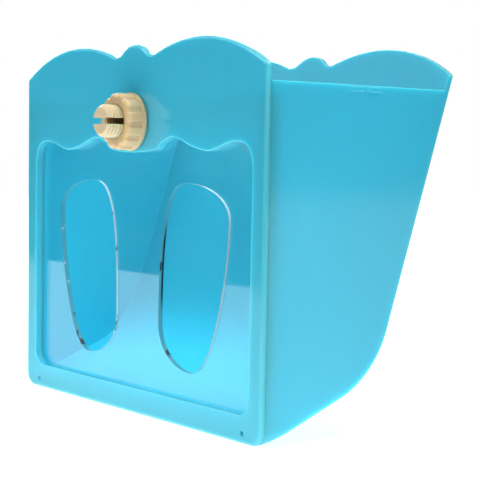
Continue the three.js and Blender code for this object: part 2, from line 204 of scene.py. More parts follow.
class ClampSizes(bpy.types.PropertyGroup):
    """Sizes of the bolt and the nut"""

    bolt_radius: length("Bolt radius", 6.5 * MM, "Outer radius of the bolt's thread")
    tip_chamfer: length("Tip chamfer", 1.3 * MM, "Chamfer at the bolt's tip")
    head_radius: length("Head radius", BOLT_HIGH.x, "Radius of the bolt's head")
    head_thickness: length("Head thickness", 3.0 * MM, "Thickness of the bolt's head")
    head_break: length("Head break", 0.3 * MM, "Break of the head's front edge")
    crown_rise: length("Crown rise", 1.2 * MM, "Rise of the head's crowned back")
    crown_width: length("Crown width", 2.4 * MM, "Width of the head's crowned edge")
    slot_width: length("Slot width", 2.5 * MM, "Width of the slot for the cage wire")
    slot_land: length("Slot land", 0.5 * MM, "Plain shank left between the slot and the frame's face")
    pitch: length("Pitch", 1.5 * MM, "Pitch of the thread")
    thread_depth: length("Thread depth", 0.55 * MM, "Depth of the thread")
    flank_share: share("Flank", 0.36, "Length of a thread's flank, as a share of the pitch")
    nut_bore: length("Nut bore", 6.75 * MM, "Radius of the nut's bore over its thread")
    bore_end: length("Bore end", 0.3 * MM, "From the nut's ends to its thread")
    mouth_step: length("Mouth step", 0.25 * MM, "Step from the bore out to the nut's mouth")
    mouth_flare: length("Mouth flare", 0.35 * MM, "Flare of the nut's mouth")
    grip_radius: length("Grip radius", 11.2 * MM, "Radius of the nut's fluted grip")
    front_round: length("Front round", 1.8 * MM, "Length of the round at the nut's front")
    front_drop: length("Front drop", 1.5 * MM, "Drop of the round at the nut's front")
    flute_count: bpy.props.IntProperty(name="Flutes", description="Number of flutes", default=12, min=3)
    flute_width: length("Flute width", 2.4 * MM, "Width of a flute")
    flute_depth: length("Flute depth", 0.7 * MM, "Depth of a flute")
    flute_wall: length("Flute wall", 1.0 * MM, "Width of a flute's soft wall")
    flute_fade: length("Flute fade", 0.6 * MM, "Length over which the flutes end before the collar")
    flute_turn: angle("Flute turn", -6.0, "Turn of the first flute from +X towards +Z")
    collar_radius: length("Collar radius", NUT_HIGH.x, "Radius of the nut's collar")
    collar_thickness: length("Collar thickness", 1.6 * MM, "Thickness of the nut's collar")
    collar_step: length("Collar step", 0.05 * MM, "From the grip's end back to the collar's round")
    collar_front: length("Collar front round", 0.2 * MM, "Radius of the collar's front edge")
    collar_back: length("Collar back round", 0.5 * MM, "Radius of the collar's back edge")


class FinishSettings(bpy.types.PropertyGroup):
    """Colours and finishes"""

    cyan: colour("Cyan", (0.064, 0.483, 0.662), "Colour of the moulded frame and hopper")
    # Painted highlight: the colour that rounded edges are painted with, for the light they catch
    cyan_edge_highlight: colour("Cyan edge highlight", (0.098, 0.525, 0.70), "Colour of thin and rounded edges")
    # Painted highlight: hollow inner corners are painted lighter than the outer edges by this much
    crease_highlight: number("Crease light", 4.0, "How much lighter the inner corners are than the outer edges")
    clear: colour("Clear", (0.97, 0.995, 1.0), "Tint of the clear sheet")
    # The cut edges are painted: a tint for what shows through the clear edge, and a lighter tint where the
    # edge faces the key lamp
    cut_edge: colour("Painted cut edge", (0.08, 0.36, 0.46), "Tint of the clear sheet's cut edges")
    lit_edge: colour("Lit edge", (0.62, 0.82, 0.86), "Tint of the cut edges that face the key lamp")
    cream: colour("Cream", (0.68, 0.59, 0.39), "Colour of the bolt")
    # The nut's tan is partly its own colour and partly painted shade: it is darker than the bolt's cream for
    # the shade its sides lie in
    tan: colour("Tan", (0.69, 0.54, 0.31), "Colour of the nut")
    gloss: share("Gloss roughness", 0.09, "Roughness of the glossy mouldings")
    satin: share("Satin roughness", 0.34, "Roughness of the bolt and the nut")


class StageSettings(bpy.types.PropertyGroup):
    """Floor, lamps and room"""

    floor: colour("Floor", (0.9, 0.9, 0.9), "Colour of the floor")
    near: number("Near floor", 2.95, "Light from the floor by the box")
    far: number("Far floor", 1.15, "Light from the floor's far parts")
    contact: share("Contact", 0.6, "Light from the floor right at the box's foot, as a share")
    behind: share("Floor behind", 0.4, "Floor's light behind the box, as a share of that in front")
    reach: length("Floor reach", 0.38, "How far the floor reaches in front of the box")
    mirrored: colour("Mirrored floor", (0.82, 1.0, 1.0), "Tint of the floor in reflections")
    sheen: number("Sheen", 1.3, "Brightness of the floor in reflections")
    room_low: share("Low room", 0.02, "Brightness of the room beyond the floor, in reflections")
    room_high: number("Room", 1.15, "Brightness of the room in reflections")
    room_top: share("High room", 0.6, "Brightness of the room's upper part, in reflections")
    shadow: share("Shadow", 0.35, "How much of the shadow on the floor the camera sees")
    key: power("Key lamp", 3.2, "Power of the key lamp")
    fill: power("Fill lamp", 2.1, "Power of the fill lamp")
    top: power("Top lamp", 9.0, "Power of the top lamp")
    left: power("Left lamp", 3.8, "Power of the left lamp")
    sky: share("Sky", 0.18, "Strength of the soft light from all round")


# Outlines, as lists of (across, up) points


def arc(x, z, radius, start, end, steps):
    turns = [start + (end - start) * k / steps for k in range(steps + 1)]
    return [(x + radius * math.cos(turn), z + radius * math.sin(turn)) for turn in turns]


def circle(x, z, radius, steps):
    return arc(x, z, radius, 0, 2 * math.pi, steps)[:-1]


def quarter(steps):
    """Pairs of 1 - cosine and 1 - sine for the turns of a quarter round"""
    turns = [math.pi / 2 * k / steps for k in range(steps + 1)]
    return [(1 - math.cos(turn), 1 - math.sin(turn)) for turn in turns]


def mirrored(points):
    return [(-x, z) for x, z in reversed(points)]


def lower_corner(half, foot, radius, steps):
    """Lower right corner of an outline, from its lower edge to its side"""
    return arc(half - radius, foot + radius, radius, -math.pi / 2, 0, steps)


def distinct(points, least=1e-6):
    kept = []
    for point in points:
        if not kept or math.dist(point, kept[-1]) > least:
            kept.append(point)
    while math.dist(kept[0], kept[-1]) <= least:
        kept.pop()
    return kept


def crown_outline(sizes, half_width, foot):
    """Outline of the frame and of the hopper's back, anticlockwise from the lower right corner"""
    centre = sizes.hump_spacing / 2
    run = sizes.width / 2 - centre
    hump_radius = (run**2 + sizes.hump_rise**2) / (2 * sizes.hump_rise)
    hump_z = sizes.height - hump_radius
    bump_z = sizes.height - sizes.bump_drop - sizes.bump_radius
    shoulder_x = half_width - sizes.shoulder_round
    shoulder_z = hump_z + math.sqrt((hump_radius - sizes.shoulder_round) ** 2 - (shoulder_x - centre) ** 2)
    shoulder_angle = math.atan2(shoulder_z - hump_z, shoulder_x - centre)
    apart = math.hypot(centre, hump_z - bump_z)
    from_bump = sizes.bump_radius + sizes.trough_round
    from_hump = hump_radius + sizes.trough_round
    along = (from_bump**2 - from_hump**2 + apart**2) / (2 * apart)
    across = math.sqrt(from_bump**2 - along**2)
    trough_x = (along * centre - across * (hump_z - bump_z)) / apart
    trough_z = bump_z + (along * (hump_z - bump_z) + across * centre) / apart
    hump_end = math.atan2(trough_z - hump_z, trough_x - centre)
    bump_start = math.atan2(trough_z - bump_z, trough_x)
    to_hump = math.atan2(hump_z - trough_z, centre - trough_x)
    to_bump = math.atan2(bump_z - trough_z, -trough_x)
    half = (
        lower_corner(half_width, 0, foot, CORNER_STEPS)
        + arc(shoulder_x, shoulder_z, sizes.shoulder_round, 0, shoulder_angle, SHOULDER_STEPS)
        + arc(centre, hump_z, hump_radius, shoulder_angle, hump_end, HUMP_STEPS)
        + arc(trough_x, trough_z, sizes.trough_round, to_hump, to_bump, ARC_STEPS)
        + arc(0, bump_z, sizes.bump_radius, bump_start, math.pi / 2, ARC_STEPS)
    )
    return distinct(half + mirrored(half))


def smooth_through(points, steps):
    """Points of a smooth curve through the given points"""
    curve = []
    for k in range(len(points) - 1):
        around = points[max(k - 1, 0)], points[k], points[k + 1], points[min(k + 2, len(points) - 1)]
        for t in (step / steps for step in range(steps)):
            curve.append(tuple(
                (2 * b + (c - a) * t + (2 * a - 5 * b + 4 * c - d) * t**2
                 + (3 * b - a - 3 * c + d) * t**3) / 2
                for a, b, c, d in zip(*around)
            ))
    return curve + points[-1:]


def window_outline(sizes):
    half = sizes.width / 2 - sizes.window_margin
    head = sizes.height - sizes.window_head_drop
    right = [(across * half, head + up * sizes.scallop_rise) for across, up in WINDOW_HEAD_SHARES]
    through = right[1:][::-1] + mirrored(right)[::-1]
    lower = lower_corner(half, sizes.window_sill, sizes.window_corner, ARC_STEPS)
    return distinct(lower + smooth_through(through, WINDOW_STEPS) + mirrored(lower))


def feed_hole(box, panel, side):
    """One feed hole, on the right for side 1 and on the left for side -1"""
    inner = panel.web / 2
    width = box.width / 2 - box.window_margin - panel.side_margin - inner
    foot = box.window_sill + panel.foot_margin
    height = box.height - box.window_head_drop - panel.head_margin - foot
    ends = [Vector((side * (inner + across * width), foot + up * height)) for across, up in FEED_HOLE_SHARES]
    points = []
    for k in range(0, len(ends) - 1, 3):
        a, b, c, d = ends[k:k + 4]
        for t in (step / FEED_HOLE_STEPS for step in range(FEED_HOLE_STEPS)):
            point = a * (1 - t) ** 3 + b * 3 * t * (1 - t) ** 2 + c * 3 * t**2 * (1 - t) + d * t**3
            points.append(tuple(point))
    return distinct(points)


def area(points):
    return sum(a[0] * b[1] - b[0] * a[1] for a, b in zip(points, points[1:] + points[:1])) / 2


def moved_out(points, distance):
    """Closed outline moved out by a distance, in by a negative one, with the same number of points"""
    turn = 1 if area(points) > 0 else -1
    moved = []
    for k, (x, z) in enumerate(points):
        before, after = points[k - 1], points[(k + 1) % len(points)]
        run = Vector((after[0] - before[0], after[1] - before[1])).normalized()
        moved.append((x + turn * run.y * distance, z - turn * run.x * distance))
    return moved


def kept_apart(points, outline, distance, least_share=0.97):
    """Points of a moved outline that really lie about that far from the outline it was moved from"""
    return [p for p in points if min(math.dist(p, q) for q in outline) > least_share * distance]


# Meshes


def new_object(name, bm):
    bmesh.ops.recalc_face_normals(bm, faces=bm.faces)
    mesh = bpy.data.meshes.new(name)
    bm.to_mesh(mesh)
    bm.free()
    obj = bpy.data.objects.new(name, mesh)
    bpy.context.scene.collection.objects.link(obj)
    return obj


def ring_wall(bm, rings):
    """Joins rings of as many vertices each with a closed band of faces"""
    for first, second in zip(rings, rings[1:]):
        count = len(first)
        for k in range(count):
            bm.faces.new((first[k], first[(k + 1) % count], second[(k + 1) % count], second[k]))


def cap(bm, loops):
    """Fills a flat face with holes between loops of vertices"""
    corners = [vert for loop in loops for vert in loop]
    for tri in tessellate_polygon([[vert.co for vert in loop] for loop in loops]):
        bm.faces.new([corners[k] for k in tri])


def edge_profile(front, back, front_round, back_round, steps):
    """(inset, depth) pairs of a wall between two faces, with a round at each"""
    start = [(front_round * short, front + front_round * rise) for rise, short in quarter(steps)]
    end = [(back_round * short, back - back_round * rise) for rise, short in quarter(max(2, steps // 2))]
    return start + end[::-1]


def plate(name, outline, profile, holes=()):
    """Flat plate in the front view, with an edge profile for its outline and for each (hole, profile)"""
    bm = bmesh.new()
    front, back = [], []
    for loop, pairs, way in [(outline, profile, -1)] + [(hole, pairs, 1) for hole, pairs in holes]:
        rings = []
        for inset, depth in pairs:
            points = moved_out(loop, way * inset) if inset else loop
            rings.append([bm.verts.new((x, depth, z)) for x, z in points])
        ring_wall(bm, rings)
        front.append(rings[0])
        back.append(rings[-1])
    cap(bm, front)
    cap(bm, back)
    return new_object(name, bm)


def side_prism(name, profile, half_width):
    """Prism of a (depth, height) outline across the width"""
    bm = bmesh.new()
    rings = [[bm.verts.new((x, y, z)) for y, z in profile] for x in (-half_width, half_width)]
    ring_wall(bm, rings)
    cap(bm, rings[:1])
    cap(bm, rings[1:])
    return new_object(name, bm)


def block(name, across, depth, height, radius=0.0):
    """Block between two places across, two depths and two heights, with rounded edges"""
    bm = bmesh.new()
    bmesh.ops.create_cube(bm, size=1.0)
    low, high = (Vector(corner) for corner in zip(*map(sorted, (across, depth, height))))
    for vert in bm.verts:
        vert.co = [start + (at + 0.5) * (end - start) for start, end, at in zip(low, high, vert.co)]
    if radius:
        bmesh.ops.bevel(
            bm, geom=bm.edges, offset=radius, segments=BLOCK_EDGE_STEPS, affect="EDGES", profile=0.5
        )
    return new_object(name, bm)


def turns_of(count):
    return [2 * math.pi * k / count for k in range(count)]


def turned(name, rings, closed):
    """Body about the bolt's axis, of rings of radii at a depth, that go from +X towards -Z"""
    bm = bmesh.new()
    made = []
    for radii, depth in rings:
        around = zip(radii, turns_of(len(radii)))
        made.append([bm.verts.new((r * math.cos(turn), depth, -r * math.sin(turn))) for r, turn in around])
    if closed:
        made.append(made[0])
    ring_wall(bm, made)
    if not closed:
        cap(bm, made[:1])
        cap(bm, made[-1:])
    return new_object(name, bm)


def round_rings(outline, facets):
    """Plain rings of a (radius, depth) outline"""
    return [([radius] * facets, depth) for radius, depth in outline]


def applied(obj):
    """Replaces the object's mesh by the one its modifiers give"""
    made = bpy.data.meshes.new_from_object(obj.evaluated_get(bpy.context.evaluated_depsgraph_get()))
    made.name = obj.name
    obj.modifiers.clear()
    obj.data = made
    return obj


def combine(obj, other, operation):
    """Joins, cuts or intersects the object with another, which is used up"""
    step = obj.modifiers.new(operation, "BOOLEAN")
    step.operation = operation
    step.solver = "MANIFOLD"
    step.object = other
    applied(obj)
    bpy.data.objects.remove(other)
    if not obj.data.polygons:
        raise RuntimeError(f"{obj.name}: nothing was left after {operation}")
    return obj


def bevelled(obj, width, segments):
    step = obj.modifiers.new("Rounds", "BEVEL")
    step.width = width
    step.segments = segments
    step.limit_method = "ANGLE"
    step.angle_limit = BEVEL_ANGLE
    step.use_clamp_overlap = True
    step.miter_outer = "MITER_ARC"
    return applied(obj)


def cleaned(obj, least=0.008 * MM):
    """Closes up the hair-thin faces that cuts and joins leave"""
    bm = bmesh.new()
    bm.from_mesh(obj.data)
    bmesh.ops.remove_doubles(bm, verts=bm.verts, dist=least)
    bmesh.ops.dissolve_degenerate(bm, edges=bm.edges, dist=least)
    bm.to_mesh(obj.data)
    bm.free()
    return obj


def mark_painted_highlights(obj, crease_highlight=0.0):
    """Marks rims for the painted highlight: rounded outer edges with 1, and hollow ones with the value given
    for their painted highlight
    """
    bm = bmesh.new()
    bm.from_mesh(obj.data)
    marks = []
    for face in bm.faces:
        lengths = [edge.calc_length() for edge in face.edges]
        bends = [edge for edge in face.edges if edge.calc_face_angle(0.0) > RIM_TURN]
        bent = sum(edge.calc_length() for edge in bends)
        hollow = sum(edge.calc_length() for edge in bends if not edge.is_convex) > bent / 2
        across = face.calc_area() / max(max(lengths), 1e-9) * (2 if len(lengths) == 3 else 1)
        gets_painted_highlight = len(bends) > 1 and bent > RIM_BEND_SHARE * sum(lengths) and across < RIM_WIDTH
        # Hollow rims take the value of their painted highlight, outer ones 1
        marks.append((crease_highlight if hollow else 1.0) if gets_painted_highlight else 0.0)
    bm.free()
    obj.data.attributes.new(EDGE_HIGHLIGHT_ATTRIBUTE, "FLOAT", "FACE").data.foreach_set("value", marks)


def finished(obj, material, body, slot, *nodes):
    """Smooth shading, material, body and replaced nodes of a piece; the slot is not used"""
    obj.data.materials.clear()
    obj.data.materials.append(material)
    obj.data.polygons.foreach_set("use_smooth", [True] * len(obj.data.polygons))
    obj.data.set_sharp_from_angle(angle=SHARP_ANGLE)
    weighted = obj.modifiers.new("Flat faces stay flat", "WEIGHTED_NORMAL")
    weighted.keep_sharp = True
    weighted.weight = 100
    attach(obj, body)
    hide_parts(*nodes)


def lowered(obj, sizes):
    """Moves a mesh that is drawn from the foot to the row's origin"""
    obj.data.transform(Matrix.Translation((0, 0, -sizes.bolt_height)))


# Materials


COLOUR, FLOAT = "NodeSocketColor", "NodeSocketFloat"
WHITE = (1, 1, 1, 1)
PLASTIC_IOR = 1.49

# Distances that light spreads inside the mouldings, for red, green and blue
COOL_GLOW = (2.8 * MM, 7.2 * MM, 8.0 * MM)
WARM_GLOW = (4.5 * MM, 2.2 * MM, 0.8 * MM)

# Mouldings: depth of their grain, its strength on glossy and on satin pieces, and how much their roughness
# changes over the surface, as a share of it
GRAIN_DEPTH, GLOSS_BUMP, SATIN_BUMP = 0.02 * MM, 0.05, 0.2
ROUGHNESS_SHARE = 0.3

# Cut edges: noise values between which they turn to painted dark reflections and to painted white glints, and
# the tones of these
DARK_STEP, WHITE_STEP = (0.45, 0.40), (0.62, 0.70)
DARK_REFLECTION_TONE, GLINT_TONE, REFLECTION_STREAK_TONE = (0.02, 0.05, 0.06, 1), (0.9, 0.97, 1, 1), (0.01, 0.02, 0.025, 1)

# Normals across the box by which a cut edge goes from its painted tint to the lighter painted tint of its lit
# side, and where the painted dark reflection shows
LIT_FROM, LIT_TO, REFLECTION_STREAK_FROM, REFLECTION_STREAK_TO = 0.3, -0.6, 0.9, 0.97

# Row heights between which the right feed hole's inner side shows a painted dark reflection, and its soft
# borders
REFLECTION_STREAK_LOW, REFLECTION_STREAK_HIGH = -72 * MM, -42 * MM
REFLECTION_STREAK_BORDER, REFLECTION_STREAK_MIDDLE_BORDER = 5 * MM, 0.2 * MM

# Faces of the clear sheet that face the front or the back less than this are cut edges
CUT_FACING = 0.9


def fill(tree, node, inputs):
    """Gives a node's inputs, by name or number, the output to link or the plain value"""
    for label, value in inputs.items():
        if isinstance(value, bpy.types.NodeSocket):
            tree.links.new(value, node.inputs[label])
        else:
            node.inputs[label].default_value = value


def add_node(tree, kind, inputs=None, **settings):
    """Adds a node, and gives its outputs"""
    node = tree.nodes.new(kind)
    for name, value in settings.items():
        setattr(node, name, value)
    fill(tree, node, inputs or {})
    return node.outputs


def calculated(tree, operation, *values):
    return add_node(tree, "ShaderNodeMath", dict(enumerate(values)), operation=operation)[0]


def product(tree, first, *others):
    for other in others:
        first = calculated(tree, "MULTIPLY", first, other)
    return first


def vector_step(tree, operation, *values):
    return add_node(tree, "ShaderNodeVectorMath", dict(enumerate(values)), operation=operation)


def eased_range(tree, value, start, end, first=0.0, last=1.0):
    """Maps a value that goes from start to end to one that goes from first to last, with soft ends"""
    inputs = dict(enumerate((value, start, end, first, last)))
    return add_node(tree, "ShaderNodeMapRange", inputs, interpolation_type="SMOOTHSTEP")["Result"]


def mixed(tree, factor, first, second, kind="RGBA", **settings):
    inputs = {"Factor": factor, "A": first, "B": second}
    return add_node(tree, "ShaderNodeMix", inputs, data_type=kind, **settings)["Result"]


def mixed_shaders(tree, factor, first, second):
    return add_node(tree, "ShaderNodeMixShader", {0: factor, 1: first, 2: second})[0]


def parts_of(tree, vector):
    return add_node(tree, "ShaderNodeSeparateXYZ", {0: vector})


def new_material(name, inputs):
    """Material with plain values for its Principled shader, its node tree and that shader"""
    material = bpy.data.materials.new(name)
    material.use_nodes = True
    shader = material.node_tree.nodes["Principled BSDF"]
    fill(material.node_tree, shader, inputs)
    return material, material.node_tree, shader


def new_group(name, inputs, output_sockets):
    """Node group with sockets for (name, kind, value) inputs and (name, kind) outputs"""
    tree = bpy.data.node_groups.new(name, "ShaderNodeTree")
    for label, kind, value in inputs:
        tree.interface.new_socket(label, in_out="INPUT", socket_type=kind).default_value = value
    for label, kind in output_sockets:
        tree.interface.new_socket(label, in_out="OUTPUT", socket_type=kind)
    return tree, add_node(tree, "NodeGroupInput"), tree.nodes.new("NodeGroupOutput")


def moulding_group():
    """Node group: slight unevenness of moulded plastic and the painted highlight on its rims, as a colour, a
    roughness and a height
    """
    name = "moulded_surface"
    if name in bpy.data.node_groups:
        return bpy.data.node_groups[name]
    inputs = (
        ("Colour", COLOUR, (0.5, 0.5, 0.5, 1)),
        ("Rim Colour", COLOUR, (0.8, 0.8, 0.8, 1)),
        ("Rim", FLOAT, 0.0),
        ("Cloud Scale", FLOAT, 30.0),
        ("Cloud Strength", FLOAT, 0.04),
        ("Grain Scale", FLOAT, 1500.0),
        ("Roughness", FLOAT, 0.2),
        ("Roughness Spread", FLOAT, 0.05),
    )
    tree, given, out = new_group(name, inputs, (("Colour", COLOUR), ("Roughness", FLOAT), ("Height", FLOAT)))
    place = add_node(tree, "ShaderNodeTexCoord")["Object"]
    cloud = {"Vector": place, "Scale": given["Cloud Scale"], "Detail": 3.0}
    grain = {"Vector": place, "Scale": given["Grain Scale"], "Detail": 2.0}
    centred = calculated(tree, "SUBTRACT", add_node(tree, "ShaderNodeTexNoise", cloud)["Fac"], 0.5)
    spread = calculated(tree, "MULTIPLY_ADD", centred, given["Cloud Strength"], 1.0)
    # Painted highlight: the rims' mark mixes the highlight colour into the colour, past it where the mark is
    # over 1
    tint = mixed(tree, given["Rim"], given["Colour"], given["Rim Colour"], clamp_factor=False)
    fill(tree, out, {
        "Colour": add_node(tree, "ShaderNodeVectorMath", {0: tint, "Scale": spread}, operation="SCALE")[0],
        "Roughness": calculated(tree, "MULTIPLY_ADD", centred, given["Roughness Spread"], given["Roughness"]),
        "Height": add_node(tree, "ShaderNodeTexNoise", grain)["Fac"],
    })
    return tree


def moulded_material(name, tint, highlight_tint, roughness, bump, glow):
    """Moulded plastic: an uneven surface, rims with a painted highlight, and light that spreads inside by the
    glow
    """
    material, tree, shader = new_material(name, {
        "IOR": PLASTIC_IOR,
        "Subsurface Weight": 1.0,
        "Subsurface Radius": glow,
        "Subsurface Scale": 1.0,
    })
    surface = {
        "Colour": (*tint, 1),
        "Rim Colour": (*highlight_tint, 1),
        # The rims' mark from the mesh, where the painted highlight goes
        "Rim": add_node(tree, "ShaderNodeAttribute", attribute_name=EDGE_HIGHLIGHT_ATTRIBUTE)["Fac"],
        "Roughness": roughness,
        "Roughness Spread": ROUGHNESS_SHARE * roughness,
    }
    made = add_node(tree, "ShaderNodeGroup", surface, node_tree=moulding_group())
    relief = {"Strength": bump, "Distance": GRAIN_DEPTH, "Height": made["Height"]}
    fill(tree, shader, {
        "Base Color": made["Colour"],
        "Roughness": made["Roughness"],
        "Normal": add_node(tree, "ShaderNodeBump", relief)["Normal"],
    })
    return material


def cyan_material(finish):
    name = "moulded_cyan"
    if name in bpy.data.materials:
        return bpy.data.materials[name]
    # The cyan mouldings get the painted edge highlight
    return moulded_material(name, finish.cyan, finish.cyan_edge_highlight, finish.gloss, GLOSS_BUMP, COOL_GLOW)


def cream_material(name, tint, finish):
    return moulded_material(name, tint, tint, finish.satin, SATIN_BUMP, WARM_GLOW)


def clear_material(finish):
    """Clear polished sheet, which lets the lamps' light through to the hopper"""
    tint = (*finish.clear, 1)
    material, tree, shader = new_material("clear_acrylic", {
        "Base Color": tint,
        "Roughness": 0.02,
        "IOR": PLASTIC_IOR,
        "Transmission Weight": 1.0,
    })
    through = add_node(tree, "ShaderNodeBsdfTransparent", {"Color": tint})[0]
    shadow_ray = add_node(tree, "ShaderNodeLightPath")["Is Shadow Ray"]
    either = mixed_shaders(tree, shadow_ray, shader.outputs[0], through)
    fill(tree, tree.nodes["Material Output"], {"Surface": either})
    return material


def cut_edge_group():
    """Node group: painted glints, dark reflections and lit sides of a polished cut edge, as a colour that
    goes from dark through tinted to white
    """
    name = "cut_edge_glints"
    if name in bpy.data.node_groups:
        return bpy.data.node_groups[name]
    inputs = (
        ("Tint", COLOUR, (0.1, 0.4, 0.5, 1)),
        ("Lit Tint", COLOUR, (0.6, 0.8, 0.9, 1)),
        ("Behind", FLOAT, 0.0),
        ("Scale", FLOAT, 60.0),
    )
    tree, given, out = new_group(name, inputs, (("Colour", COLOUR),))
    place = add_node(tree, "ShaderNodeTexCoord")
    texture = {"Vector": place["Object"], "Scale": given["Scale"], "Detail": 4.0, "Roughness": 0.7}
    noise = add_node(tree, "ShaderNodeTexNoise", texture)["Fac"]
    # The normal is turned round where the face is seen from behind
    way = calculated(tree, "MULTIPLY_ADD", given["Behind"], -2.0, 1.0)
    across = product(tree, parts_of(tree, place["Normal"])["X"], way)
    # Painted light: the side that faces the key lamp gets the lighter tint
    shade = mixed(tree, eased_range(tree, across, LIT_FROM, LIT_TO), given["Tint"], given["Lit Tint"])
    # Painted reflections and glints: where the noise is low or high the edge turns dark or white
    for (start, end), tone in ((DARK_STEP, DARK_REFLECTION_TONE), (WHITE_STEP, GLINT_TONE)):
        step = {"Value": noise, "From Min": start, "From Max": end}
        shade = mixed(tree, add_node(tree, "ShaderNodeMapRange", step)["Result"], shade, tone)
    point = parts_of(tree, place["Object"])
    middle = (PANEL_LOW.y + PANEL_HIGH.y) / 2
    # Painted dark reflection along the right feed hole's inner side
    dark_reflection = product(
        tree,
        eased_range(tree, point["Z"], REFLECTION_STREAK_LOW - REFLECTION_STREAK_BORDER, REFLECTION_STREAK_LOW + REFLECTION_STREAK_BORDER),
        eased_range(tree, point["Z"], REFLECTION_STREAK_HIGH + REFLECTION_STREAK_BORDER, REFLECTION_STREAK_HIGH - REFLECTION_STREAK_BORDER),
        eased_range(tree, point["X"], 0, REFLECTION_STREAK_BORDER),
        eased_range(tree, point["Y"], middle - REFLECTION_STREAK_MIDDLE_BORDER, middle + REFLECTION_STREAK_MIDDLE_BORDER),
        eased_range(tree, across, REFLECTION_STREAK_FROM, REFLECTION_STREAK_TO),
    )
    fill(tree, out, {"Colour": mixed(tree, dark_reflection, shade, REFLECTION_STREAK_TONE)})
    return tree


def cut_edge_material(finish):
    """Polished cut edge of the clear sheet, opaque, with its glints, reflections and lit sides painted"""
    material, tree, shader = new_material("cut_edge", {"Roughness": 0.15, "IOR": PLASTIC_IOR})
    glints = {
        "Tint": (*finish.cut_edge, 1),
        "Lit Tint": (*finish.lit_edge, 1),
        "Behind": add_node(tree, "ShaderNodeNewGeometry")["Backfacing"],
    }
    made = add_node(tree, "ShaderNodeGroup", glints, node_tree=cut_edge_group())
    fill(tree, shader, {"Base Color": made["Colour"]})
    return material


# Pieces


def frame_plate(box, clamp, window):
    """Crowned plate with the window, the bolt's hole and the two tie holes"""
    back = box.thickness
    tie_x = box.width / 2 - box.tie_inset
    round_holes = [circle(0, box.bolt_height, clamp.bolt_radius + box.slide_gap, BOLT_HOLE_STEPS)]
    round_holes += [circle(x, box.tie_height, box.tie_radius, TIE_HOLE_STEPS) for x in (-tie_x, tie_x)]
    hole_edge = edge_profile(0, back, HOLE_ROUND, HOLE_BREAK, HOLE_EDGE_STEPS)
    holes = [(window, edge_profile(0, back, box.window_round, HOLE_BREAK, WINDOW_EDGE_STEPS))]
    holes += [(hole, hole_edge) for hole in round_holes]
    outline = crown_outline(box, box.width / 2, box.foot_round)
    rim = edge_profile(0, back, box.edge_round, FRAME_BREAK, FRAME_EDGE_STEPS)
    return plate("front_frame_moulding", outline, rim, holes)


def window_bead(box, panel, window):
    """Bead round the window's back, which the clear panel lies against"""
    outline = kept_apart(moved_out(window, box.bead_width), window, box.bead_width)
    start = box.thickness - box.join_depth
    profile = edge_profile(start, panel.front - BEAD_GAP, BEAD_BREAK, BEAD_BREAK, BEAD_EDGE_STEPS)
    return plate("bead", outline, profile, [(moved_out(window, BEAD_SETBACK), profile)])


def panel_ribs(box, panel):
    """Sill rib under the clear panel and the two locators beside it"""
    depth = box.thickness - box.join_depth, panel.front + panel.thickness
    top = PANEL_LOW.z + box.bolt_height - box.seat_gap
    reach = box.width / 2 - box.tie_inset - box.rib_setback
    ribs = [block("sill_rib", (-reach, reach), depth, (top - box.rib_thickness, top), BLOCK_ROUND)]
    near = PANEL_HIGH.x + box.slide_gap
    height = box.locator_foot, PANEL_HIGH.z + box.bolt_height
    for side in (-1, 1):
        across = side * near, side * (near + box.locator_thickness)
        ribs.append(block("locator", across, depth, height, BLOCK_ROUND))
    return ribs


class HAYFEEDER_OT_front_frame(bpy.types.Operator):
    """Build the front frame with its window, holes, bead and ribs"""

    bl_idname = "hay_feeder.front_frame"
    bl_label = "Front frame"

    def execute(self, context):
        box, panel = context.scene.feeder_box, context.scene.feeder_panel
        window = window_outline(box)
        piece = frame_plate(box, context.scene.feeder_clamp, window)
        for part in (window_bead(box, panel, window), *panel_ribs(box, panel)):
            combine(piece, part, "UNION")
        # Marks the frame's rounded edges for the painted highlight
        mark_painted_highlights(cleaned(piece))
        lowered(piece, box)
        finished(piece, cyan_material(context.scene.feeder_finish), BOX_BODY, CYAN_SLOT, "front_frame")
        return {"FINISHED"}


def back_at(box, z, inset):
    """Depth of the hopper's back at a height, moved in by a distance"""
    return box.depth - (box.height - z) * math.tan(box.back_lean) - inset / math.cos(box.back_lean)


def floor_at(box, y, inset):
    """Height of the hopper's floor at a depth, moved in by a distance"""
    return (y - box.floor_start) * math.tan(box.floor_slope) + inset / math.cos(box.floor_slope)


def hopper_profile(box, inset, front, top):
    """Side view of the hopper moved in by a distance: sloping floor, round keel and leaning back"""
    slope, lean, radius = box.floor_slope, box.back_lean, box.keel_radius
    keel_z = floor_at(box, back_at(box, 0, radius), radius) / (1 - math.tan(slope) * math.tan(lean))
    keel_y = back_at(box, keel_z, radius)
    keel = arc(keel_y, keel_z, radius - inset, slope - math.pi / 2, -lean, KEEL_STEPS)
    return [(front, top), (front, floor_at(box, front, inset))] + keel + [(back_at(box, top, inset), top)]


